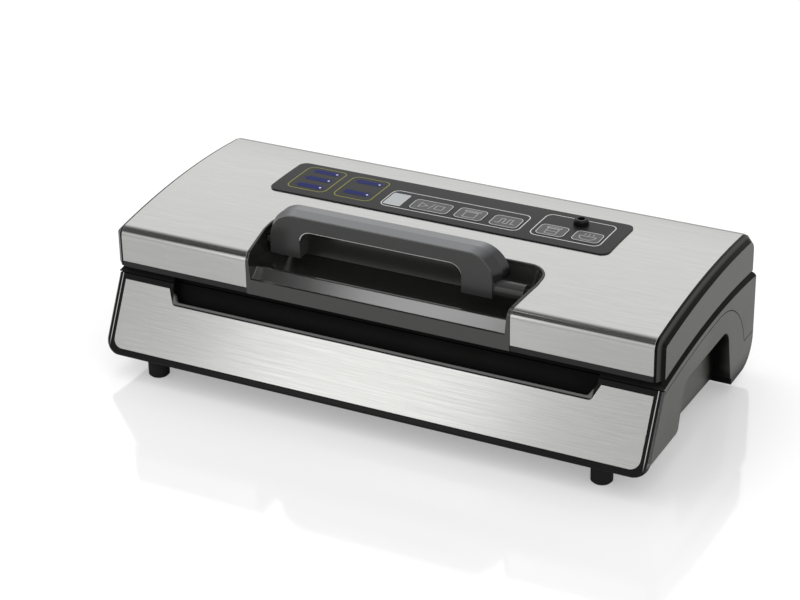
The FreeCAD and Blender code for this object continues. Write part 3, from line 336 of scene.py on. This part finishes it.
def housing(name, colour, painted_shade, low, high):
    """Textured housing plastic with painted shade: it turns black in deep gaps and on ledges."""
    finish = Finish(name, colour, (low + high) / 2)
    plain = finish.mould(low, high, MOULD_GRAIN, depth=0.02, edge=0.6)
    # Painted shade: black where ambient occlusion finds deep gaps, and on faces that look up
    openness = finish.node("ShaderNodeAmbientOcclusion", samples=16)
    finish.feed(openness.inputs["Distance"], GAP_DEPTH * MM)
    outside = finish.spread(openness.outputs["AO"], 0.0, 1.0, 0.72, 0.98)
    upright = finish.spread(finish.facing("Z"), 1.0, 0.0, 0.3, 0.5)
    shown = finish.product(outside, upright)
    finish.blend_colour(shown, painted_shade, plain)
    finish.set("Specular IOR Level", finish.spread(shown, 0.05, 0.5))
    return finish.material


def end_cap(name, colour, band, crest):
    """Satin face at the ends of the lid, with a gloss band round it that carries a painted highlight along
    its crest.
    """
    finish = Finish(name, colour, 0.4)
    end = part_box("right_end_cap")[1][0]
    # Painted highlight: paler colour along the crest of the band
    edge = finish.blend_colour(finish.band(end, CAP_HIGHLIGHT), band, crest)
    side = finish.spread(finish.sideways(finish.facing), 0.0, 1.0, 0.86, 0.94)
    finish.blend_colour(side, edge, colour)
    finish.set("Roughness", finish.spread(side, 0.16, 0.42))
    finish.set("Specular IOR Level", finish.spread(side, 0.06, 0.5))
    finish.bump(finish.noise(MOULD_GRAIN), depth=0.008, edge=0.6)
    return finish.material


def recess_lacquer(name, colour, painted_wall_light):
    """Black lining of the recess: polished on the sloping step, with painted light that makes walls facing
    the front greyer.
    """
    finish = Finish(name, colour, 0.16)
    finish.set("IOR", 2.2)
    # Painted light: walls that face the front are greyer
    upright = finish.spread(finish.facing("Y"), 1.0, 0.0, -0.9, -0.7)
    finish.blend_colour(upright, colour, painted_wall_light)
    sloping = finish.spread(finish.facing("Y"), 1.0, 0.16, -0.5, -0.4)
    finish.set("Specular IOR Level", finish.product(sloping, finish.spread(upright, 1.0, 0.2)))
    finish.bump(finish.noise(LACQUER_GRAIN), depth=0.0008, edge=0.7)
    return finish.material


def bezel_lacquer(name, colour, line, lip):
    """Deep black frame with glossier edges, a painted highlight as a fine line down each side and a grey
    painted highlight on the lip under the bag mouth.
    """
    finish = Finish(name, colour, 0.2)
    end, _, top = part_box("front_bezel")[1]
    # Painted highlight: fine pale line down each side
    side_highlight = finish.product(finish.band(end, BEZEL_HIGHLIGHT), finish.above(BEZEL_HIGHLIGHT_HEIGHTS))
    highlighted = finish.blend_colour(side_highlight, colour, line)
    # Painted highlight: grey lip under the bag mouth
    inner, outer = (end - inset * MM for inset in LIP_INSETS)
    inside = finish.spread(finish.sideways(finish.place), 1.0, 0.0, inner, outer)
    lip_height = finish.above([top / MM - drop for drop in LIP_DROPS])
    finish.blend_colour(finish.product(inside, lip_height), highlighted, lip)
    finish.set("Specular IOR Level", finish.spread(finish.facing("Y"), 0.15, 0.7, -0.85, -0.7))
    finish.bump(finish.noise(LACQUER_GRAIN), depth=0.003, edge=0.8)
    return finish.material


def grip_plastic(name, colour, line):
    """Satin grip with a painted highlight: a pale line along the lower front edge of its bar."""
    finish = Finish(name, colour, 0.26)
    under = finish.spread(finish.facing("Z"), 1.0, 0.0, -0.2, -0.1)
    front = finish.spread(finish.facing("Y"), 1.0, 0.0, -0.2, -0.1)
    # Painted highlight: pale line along the lower front edge of the bar
    finish.blend_colour(finish.product(under, front, finish.above(GRIP_HIGHLIGHT_HEIGHTS)), colour, line)
    finish.bump(finish.noise(MOULD_GRAIN), depth=0.004, edge=0.5)
    return finish.material


def cover_metal(name, colour, end):
    """Satin metal with painted shade that darkens it towards the rolled ends of the handle."""
    finish = Finish(name, colour, 0.28, 1.0)
    # Painted shade: darker colour towards the rolled ends
    rolled = finish.spread(finish.sideways(finish.facing), 0.0, 1.0, 0.1, 0.6)
    finish.blend_colour(rolled, colour, end)
    finish.bump(finish.noise(SATIN_GRAIN), depth=0.001, edge=0.3)
    return finish.material


def plain_metal(name, colour, roughness):
    """Bare metal with a faint cloud in gloss and colour."""
    finish = Finish(name, colour, roughness, 1.0)
    cloud = finish.noise(CAST_CLOUD, 4.0)
    finish.vary_roughness(cloud, roughness * 0.8, roughness * 1.25)
    finish.vary_colour(cloud, 0.9, 1.05)
    finish.bump(cloud, depth=0.01, edge=0.3)
    return finish.material


def printed(name, colour, roughness, gloss=0.5):
    """Printed film or ink: nearly flat, with a faint fine fleck."""
    finish = Finish(name, colour, roughness)
    finish.set("Specular IOR Level", gloss)
    fleck = finish.noise(PRINT_FLECK)
    finish.vary_colour(fleck, 0.97, 1.03)
    finish.vary_roughness(fleck, roughness * 0.95, roughness * 1.05)
    finish.bump(fleck, depth=0.0008, edge=0.15)
    return finish.material


MATERIALS = {
    "satin_black": moulded("satin_black", (0.016, 0.016, 0.016), 0.30, 0.38, gloss=0.3),
    # The second colour of grey_black is painted shade for deep gaps and ledges
    "grey_black": housing("grey_black", (0.095, 0.095, 0.088), (0.004, 0.004, 0.004), 0.36, 0.46),
    "gloss_black": moulded("gloss_black", (0.007, 0.007, 0.007), 0.14, 0.20, LACQUER_GRAIN, 0.003, gloss=0.2),
    "brushed_steel": brushed_steel("brushed_steel", (0.62, 0.62, 0.605), 0.16, 0.25),
    # The second colour of metallic_grey is painted shade at the handle's rolled ends
    "metallic_grey": cover_metal("metallic_grey", (0.28, 0.285, 0.29), (0.065, 0.065, 0.067)),
    "foot_rubber": moulded("foot_rubber", (0.010, 0.010, 0.010), 0.5, 0.7, grain=3000, depth=0.03, gloss=0.2),
    "foam": moulded("foam", (0.03, 0.03, 0.03), 0.85, 0.95, grain=1600, depth=0.2),
    "tray": moulded("tray", (0.045, 0.045, 0.047), 0.3, 0.4),
    "bakelite": moulded("bakelite", (0.035, 0.027, 0.022), 0.35, 0.5),
    "heater": plain_metal("heater", (0.52, 0.50, 0.46), 0.3),
    "tape": moulded("tape", (0.42, 0.33, 0.20), 0.5, 0.6, grain=2200, depth=0.05),
    "zinc": plain_metal("zinc", (0.62, 0.62, 0.60), 0.32),
    "silicone": moulded("silicone", (0.34, 0.09, 0.055), 0.5, 0.65),
    "hose": moulded("hose", (0.58, 0.58, 0.55), 0.35, 0.5),
    "board": moulded("board", (0.03, 0.15, 0.07), 0.3, 0.45),
    "overlay": printed("overlay", (0.016, 0.016, 0.017), 0.42, 0.26),
    "window": printed("window", (0.44, 0.46, 0.47), 0.3),
    "indicator": printed("indicator", (0.020, 0.020, 0.024), 0.42, 0.28),
    "key": printed("key", (0.095, 0.095, 0.099), 0.42, 0.32),
    "copper": plain_metal("copper", (0.45, 0.22, 0.10), 0.4),
}
# The last colour of the end caps is a painted highlight along the crest of the band
END_CAP = end_cap("lid_end", (0.105, 0.105, 0.098), (0.005, 0.005, 0.005), (0.06, 0.06, 0.057))
# The bezel's second colour is a painted highlight line down each side, its third a painted highlight on the
# lip
BEZEL = bezel_lacquer("bezel_lacquer", (0.006, 0.006, 0.006), (0.6, 0.6, 0.6), (0.15, 0.15, 0.148))
NODE_MATERIALS = {
    "front_bezel": BEZEL,
    "left_end_cap": END_CAP,
    "right_end_cap": END_CAP,
    # The second colour of the recess is painted light on walls that face the front
    "handle_recess": recess_lacquer("recess_lacquer", (0.014, 0.014, 0.013), (0.036, 0.036, 0.034)),
    # The second colour of the grip is a painted highlight along the lower front edge of its bar
    "handle_grip": grip_plastic("grip_plastic", (0.043, 0.043, 0.042), (0.85, 0.85, 0.84)),
    "handle_shafts": plain_metal("dark_steel", (0.06, 0.06, 0.06), 0.36),
}
WHITE_INK = printed("white_ink", (0.75, 0.75, 0.75), 0.5)
GREY_INK = printed("grey_ink", (0.55, 0.55, 0.55), 0.5)
YELLOW_INK = printed("yellow_ink", (0.30, 0.29, 0.05), 0.5)
BLUE_INK = printed("blue_ink", (0.004, 0.011, 0.12), 0.45, 0.12)

for part in frame["record"]["subparts"]:
    shown = node_object(part["node"])
    shown.data.materials.clear()
    shown.data.materials.append(NODE_MATERIALS.get(part["node"], MATERIALS[part["material_slot"]]))

# Print on the panel and the keys


class Print:
    """Thin raised print that lies on a node: strokes and filled shapes of points in X and Y."""

    def __init__(self, name, node, material, level=0):
        mesh = node_object(node).data
        corners = [vertex.co for vertex in mesh.vertices]
        self.surface = BVHTree.FromPolygons(corners, [face.vertices for face in mesh.polygons])
        self.name = name
        self.material = material
        self.lift = PRINT_LIFT + level * (PRINT_LIFT + PRINT_THICKNESS)
        self.mesh = bmesh.new()

    def column(self, point):
        """Lower and upper vertex of the print over one point."""
        hit = self.surface.ray_cast(Vector((point.x, point.y, ABOVE)), Vector((0, 0, -1)))[0]
        low = hit.z + self.lift
        return [self.mesh.verts.new((point.x, point.y, z)) for z in (low, low + PRINT_THICKNESS)]

    def walls(self, columns, closed):
        """Side faces between neighbouring columns."""
        for first, second in neighbours(columns, closed):
            self.mesh.faces.new((first[0], second[0], second[1], first[1]))

    def fill(self, points):
        """Flat shape inside a closed outline."""
        columns = [self.column(point) for point in points]
        self.walls(columns, True)
        self.mesh.faces.new([column[1] for column in columns])
        self.mesh.faces.new([column[0] for column in reversed(columns)])

    def stroke(self, points, width, closed=True):
        """Line of the given width along the points."""
        left = [self.column(point) for point in offset(points, width / 2, closed)]
        right = [self.column(point) for point in offset(points, -width / 2, closed)]
        self.walls(left, closed)
        self.walls(right[::-1], closed)
        for (left_a, right_a), (left_b, right_b) in neighbours(list(zip(left, right)), closed):
            self.mesh.faces.new((left_a[1], left_b[1], right_b[1], right_a[1]))
            self.mesh.faces.new((right_a[0], right_b[0], left_b[0], left_a[0]))
        if not closed:
            self.mesh.faces.new((left[0][0], left[0][1], right[0][1], right[0][0]))
            self.mesh.faces.new((right[-1][0], right[-1][1], left[-1][1], left[-1][0]))

    def finish(self, body, slot):
        """Make the print a piece that rides on a body."""
        bmesh.ops.recalc_face_normals(self.mesh, faces=self.mesh.faces)
        mesh = bpy.data.meshes.new(self.name)
        self.mesh.to_mesh(mesh)
        self.mesh.free()
        mesh.materials.append(self.material)
        piece = bpy.data.objects.new(self.name, mesh)
        bpy.context.scene.collection.objects.link(piece)
        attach(piece, body)


def neighbours(items, closed):
    """Each item with the next one, and the last with the first where the row closes."""
    following = items[1:] + items[:1] if closed else items[1:]
    return zip(items, following)


def offset(points, distance, closed):
    """The points moved sideways by a distance, mitred at the corners."""
    moved = []
    count = len(points)
    for i, point in enumerate(points):
        before = points[i - 1] if closed or i > 0 else None
        after = points[(i + 1) % count] if closed or i < count - 1 else None
        into = (point - before).normalized() if before is not None else (after - point).normalized()
        out = (after - point).normalized() if after is not None else into
        across = Vector((-into.y - out.y, into.x + out.x)).normalized()
        lean = max(SHARPEST_MITRE, across.dot(Vector((-into.y, into.x))))
        moved.append(point + across * (distance / lean))
    return moved


def divide(points, closed=True):
    """Points added along a line so that none lie further apart than one step of the print."""
    result = []
    for first, second in neighbours(points, closed):
        parts = max(1, math.ceil((second - first).length / PRINT_STEP))
        result += [first.lerp(second, i / parts) for i in range(parts)]
    return result if closed else result + points[-1:]


def arc(centre, radius, start, end, steps):
    """Points on an arc between two angles in degrees."""
    angles = [math.radians(start + (end - start) * i / steps) for i in range(steps + 1)]
    return [Vector((centre.x + radius * math.cos(a), centre.y + radius * math.sin(a))) for a in angles]


def dot(centre, radius):
    """Corners of a round dot."""
    return arc(centre, radius, 0, 360 - 360 / DOT_CORNERS, DOT_CORNERS - 1)


def round_box(x0, x1, y0, y1, radius):
    """Outline of a rectangle with round corners."""
    points = []
    corners = ((x1 - radius, y0 + radius, -90), (x1 - radius, y1 - radius, 0),
               (x0 + radius, y1 - radius, 90), (x0 + radius, y0 + radius, 180))
    for x, y, start in corners:
        points += arc(Vector((x, y)), radius, start, start + 90, CORNER_STEPS)
    return divide(points)


def panel_box(place, radius):
    """Round box from a place on the panel in millimetres."""
    left, right, front, rear = place
    return round_box(left * MM, right * MM, BACK - front * MM, BACK - rear * MM, radius)


def node_rim(node, inset, radius):
    """Round box just inside the edge of a node seen from above."""
    low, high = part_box(node)
    return round_box(low[0] + inset, high[0] - inset, low[1] + inset, high[1] - inset, radius)


def group_frames(name, places, ink):
    """Outlines that group the keys or the indicators."""
    outlines = Print(name, "panel_overlay", ink)
    for place in places:
        outlines.stroke(panel_box(place, FRAME_CORNER), FRAME_LINE)
    outlines.finish("lid", "overlay")


def display_rim():
    rim = Print("display_rim", "display_window", WHITE_INK)
    rim.stroke(node_rim("display_window", WINDOW_LINE_INSET, WINDOW_LINE_CORNER), KEY_LINE)
    rim.finish("lid", "window")


def bar_outline(left, middle):
    """Six corners of a pointed bar whose left end and middle line are given."""
    x0 = left + KEY_LINE
    x1 = left + BAR_LENGTH * MM - KEY_LINE
    reach = BAR_HEIGHT / 2 * MM
    point = BAR_POINT * MM
    return [Vector((x0, middle)), Vector((x0 + point, middle - reach)), Vector((x1 - point, middle - reach)),
            Vector((x1, middle)), Vector((x1 - point, middle + reach)), Vector((x0 + point, middle + reach))]


def indicator_bars():
    """Blue bars with pointed ends on the indicators, each with a dot at its right end."""
    bars = Print("indicator_bars", "indicator_lenses", BLUE_INK)
    dots = Print("indicator_dots", "indicator_lenses", WHITE_INK, level=1)
    for left, setbacks in BAR_COLUMNS:
        for setback in setbacks:
            middle = BACK - setback * MM
            bars.fill(bar_outline(left * MM, middle))
            dots.fill(dot(Vector(((left + BAR_LENGTH - DOT_INSET) * MM, middle)), DOT_RADIUS * MM))
    bars.finish("lid", "indicator")
    dots.finish("lid", "indicator")


def key_print(node, marks):
    """White rim and grey mark on one key."""
    body = node + "_body"
    rim = Print(node + "_rim", node, WHITE_INK)
    rim.stroke(node_rim(node, KEY_FLANGE + KEY_LINE_INSET, KEY_LINE_CORNER), KEY_LINE)
    rim.finish(body, "key")
    low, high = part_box(node)
    middle = Vector(((low[0] + high[0]) / 2, (low[1] + high[1]) / 2))
    mark = Print(node + "_mark", node, GREY_INK)
    for line, closed in marks:
        points = [middle + Vector(point) * MM for point in line]
        mark.stroke(divide(points, closed), ICON_LINE, closed)
    mark.finish(body, "key")


group_frames("panel_frames", WHITE_FRAMES, WHITE_INK)
group_frames("indicator_frames", YELLOW_FRAMES, YELLOW_INK)
display_rim()
indicator_bars()
for key_node, key_marks in KEY_MARKS.items():
    key_print(key_node, key_marks)

# Camera, floor, world and lamps


def add_camera():
    """Camera at the photograph's viewing angle."""
    turn, tilt, roll = (math.radians(angle) for angle in (VIEW_TURN, VIEW_TILT, VIEW_ROLL))
    back = Vector((math.sin(turn) * math.cos(tilt), -math.cos(turn) * math.cos(tilt), math.sin(tilt)))
    right = (-back).cross(Vector((0, 0, 1))).normalized()
    up = right.cross(-back)
    rolled_right = right * math.cos(roll) + up * math.sin(roll)
    rolled_up = up * math.cos(roll) - right * math.sin(roll)
    data = bpy.data.cameras.new("camera")
    data.sensor_width = SENSOR
    data.lens = FOCAL_PIXELS * SENSOR / FRAME_WIDTH
    data.clip_end = FAR_CLIP
    camera = bpy.data.objects.new("camera", data)
    axes = Matrix((rolled_right, rolled_up, back)).transposed().to_4x4()
    camera.matrix_world = Matrix.Translation(VIEW_TARGET + back * VIEW_DISTANCE) @ axes
    bpy.context.scene.collection.objects.link(camera)
    bpy.context.scene.camera = camera


def add_floor():
    """White polished floor that keeps the shadow and a soft reflection."""
    mesh = bpy.data.meshes.new("floor")
    corners = [(x * FLOOR_REACH, y * FLOOR_REACH, 0) for x, y in ((-1, -1), (1, -1), (1, 1), (-1, 1))]
    mesh.from_pydata(corners, [], [(0, 1, 2, 3)])
    floor = bpy.data.objects.new("floor", mesh)
    bpy.context.scene.collection.objects.link(floor)
    finish = Finish("floor", FLOOR_COLOUR, FLOOR_ROUGHNESS)
    finish.set("IOR", FLOOR_IOR)
    finish.set("Emission Color", (1, 1, 1))
    rays = finish.node("ShaderNodeLightPath")
    finish.set("Emission Strength", finish.spread(rays.outputs["Is Camera Ray"], 0.0, FLOOR_GLOW))
    mesh.materials.append(finish.material)


class World(NodeTree):
    """Light from all round: even for matt surfaces, shaped by direction for mirrors, white for the camera."""

    def __init__(self):
        world = bpy.data.worlds.new("world")
        bpy.context.scene.world = world
        world.use_nodes = True
        super().__init__(world.node_tree)
        self.tree.nodes.clear()

    def ramp(self, source, stops):
        """Level that follows (place, level) stops as the source goes from the first place to the last."""
        start = stops[0][0]
        end = stops[-1][0]
        ramp = self.node("ShaderNodeValToRGB")
        ramp.color_ramp.interpolation = "EASE"
        elements = ramp.color_ramp.elements
        while len(elements) < len(stops):
            elements.new(0.5)
        for element, (place, level) in zip(elements, stops):
            element.position = (place - start) / (end - start)
            element.color = (level, level, level, 1.0)
        self.feed(ramp.inputs["Fac"], self.spread(source, 0.0, 1.0, start, end))
        return ramp.outputs["Color"]

    def mirror_level(self):
        """Plain strength all round, but for cards on the left that run over the top to the back."""
        forwards = self.math("MULTIPLY", self.coordinate("Generated", "Y"), -1.0)
        angle = self.math("ARCTAN2", self.coordinate("Generated", "Z"), forwards)
        degrees = self.math("MULTIPLY", angle, math.degrees(1.0))
        change = self.math("ADD", self.ramp(degrees, CARD_LEVELS), -MIRROR_PLAIN)
        share = self.ramp(self.coordinate("Generated", "X"), CARD_SHARES)
        return self.math("ADD", self.product(change, share), MIRROR_PLAIN)

    def choose(self, ray, others, level):
        """One level for a kind of ray, and another for all others."""
        mix = self.node("ShaderNodeMix")
        self.feed(mix.inputs["Factor"], ray)
        self.feed(mix.inputs["A"], others)
        self.feed(mix.inputs["B"], level)
        return mix.outputs["Result"]

    def finish(self):
        rays = self.node("ShaderNodeLightPath")
        unseen = self.choose(rays.outputs["Is Glossy Ray"], WORLD_LEVEL, self.mirror_level())
        background = self.node("ShaderNodeBackground")
        self.feed(background.inputs["Color"], (1, 1, 1))
        self.feed(background.inputs["Strength"], self.choose(rays.outputs["Is Camera Ray"], unseen, 1.0))
        output = self.node("ShaderNodeOutputWorld")
        self.feed(output.inputs["Surface"], background.outputs["Background"])


def add_lamp(name, place, target, size, power, mirrored):
    """Area lamp that only lights, or that mirrors show as well."""
    data = bpy.data.lights.new(name, "AREA")
    data.shape = "RECTANGLE"
    data.size, data.size_y = size
    data.energy = power
    lamp = bpy.data.objects.new(name, data)
    lamp.location = place
    lamp.rotation_euler = (Vector(place) - Vector(target)).to_track_quat("Z", "Y").to_euler()
    lamp.visible_camera = False
    lamp.visible_glossy = mirrored
    bpy.context.scene.collection.objects.link(lamp)


add_camera()
add_floor()
World().finish()
for lamp_values in LAMPS:
    add_lamp(*lamp_values)

bpy.context.scene.view_settings.view_transform = "Standard"
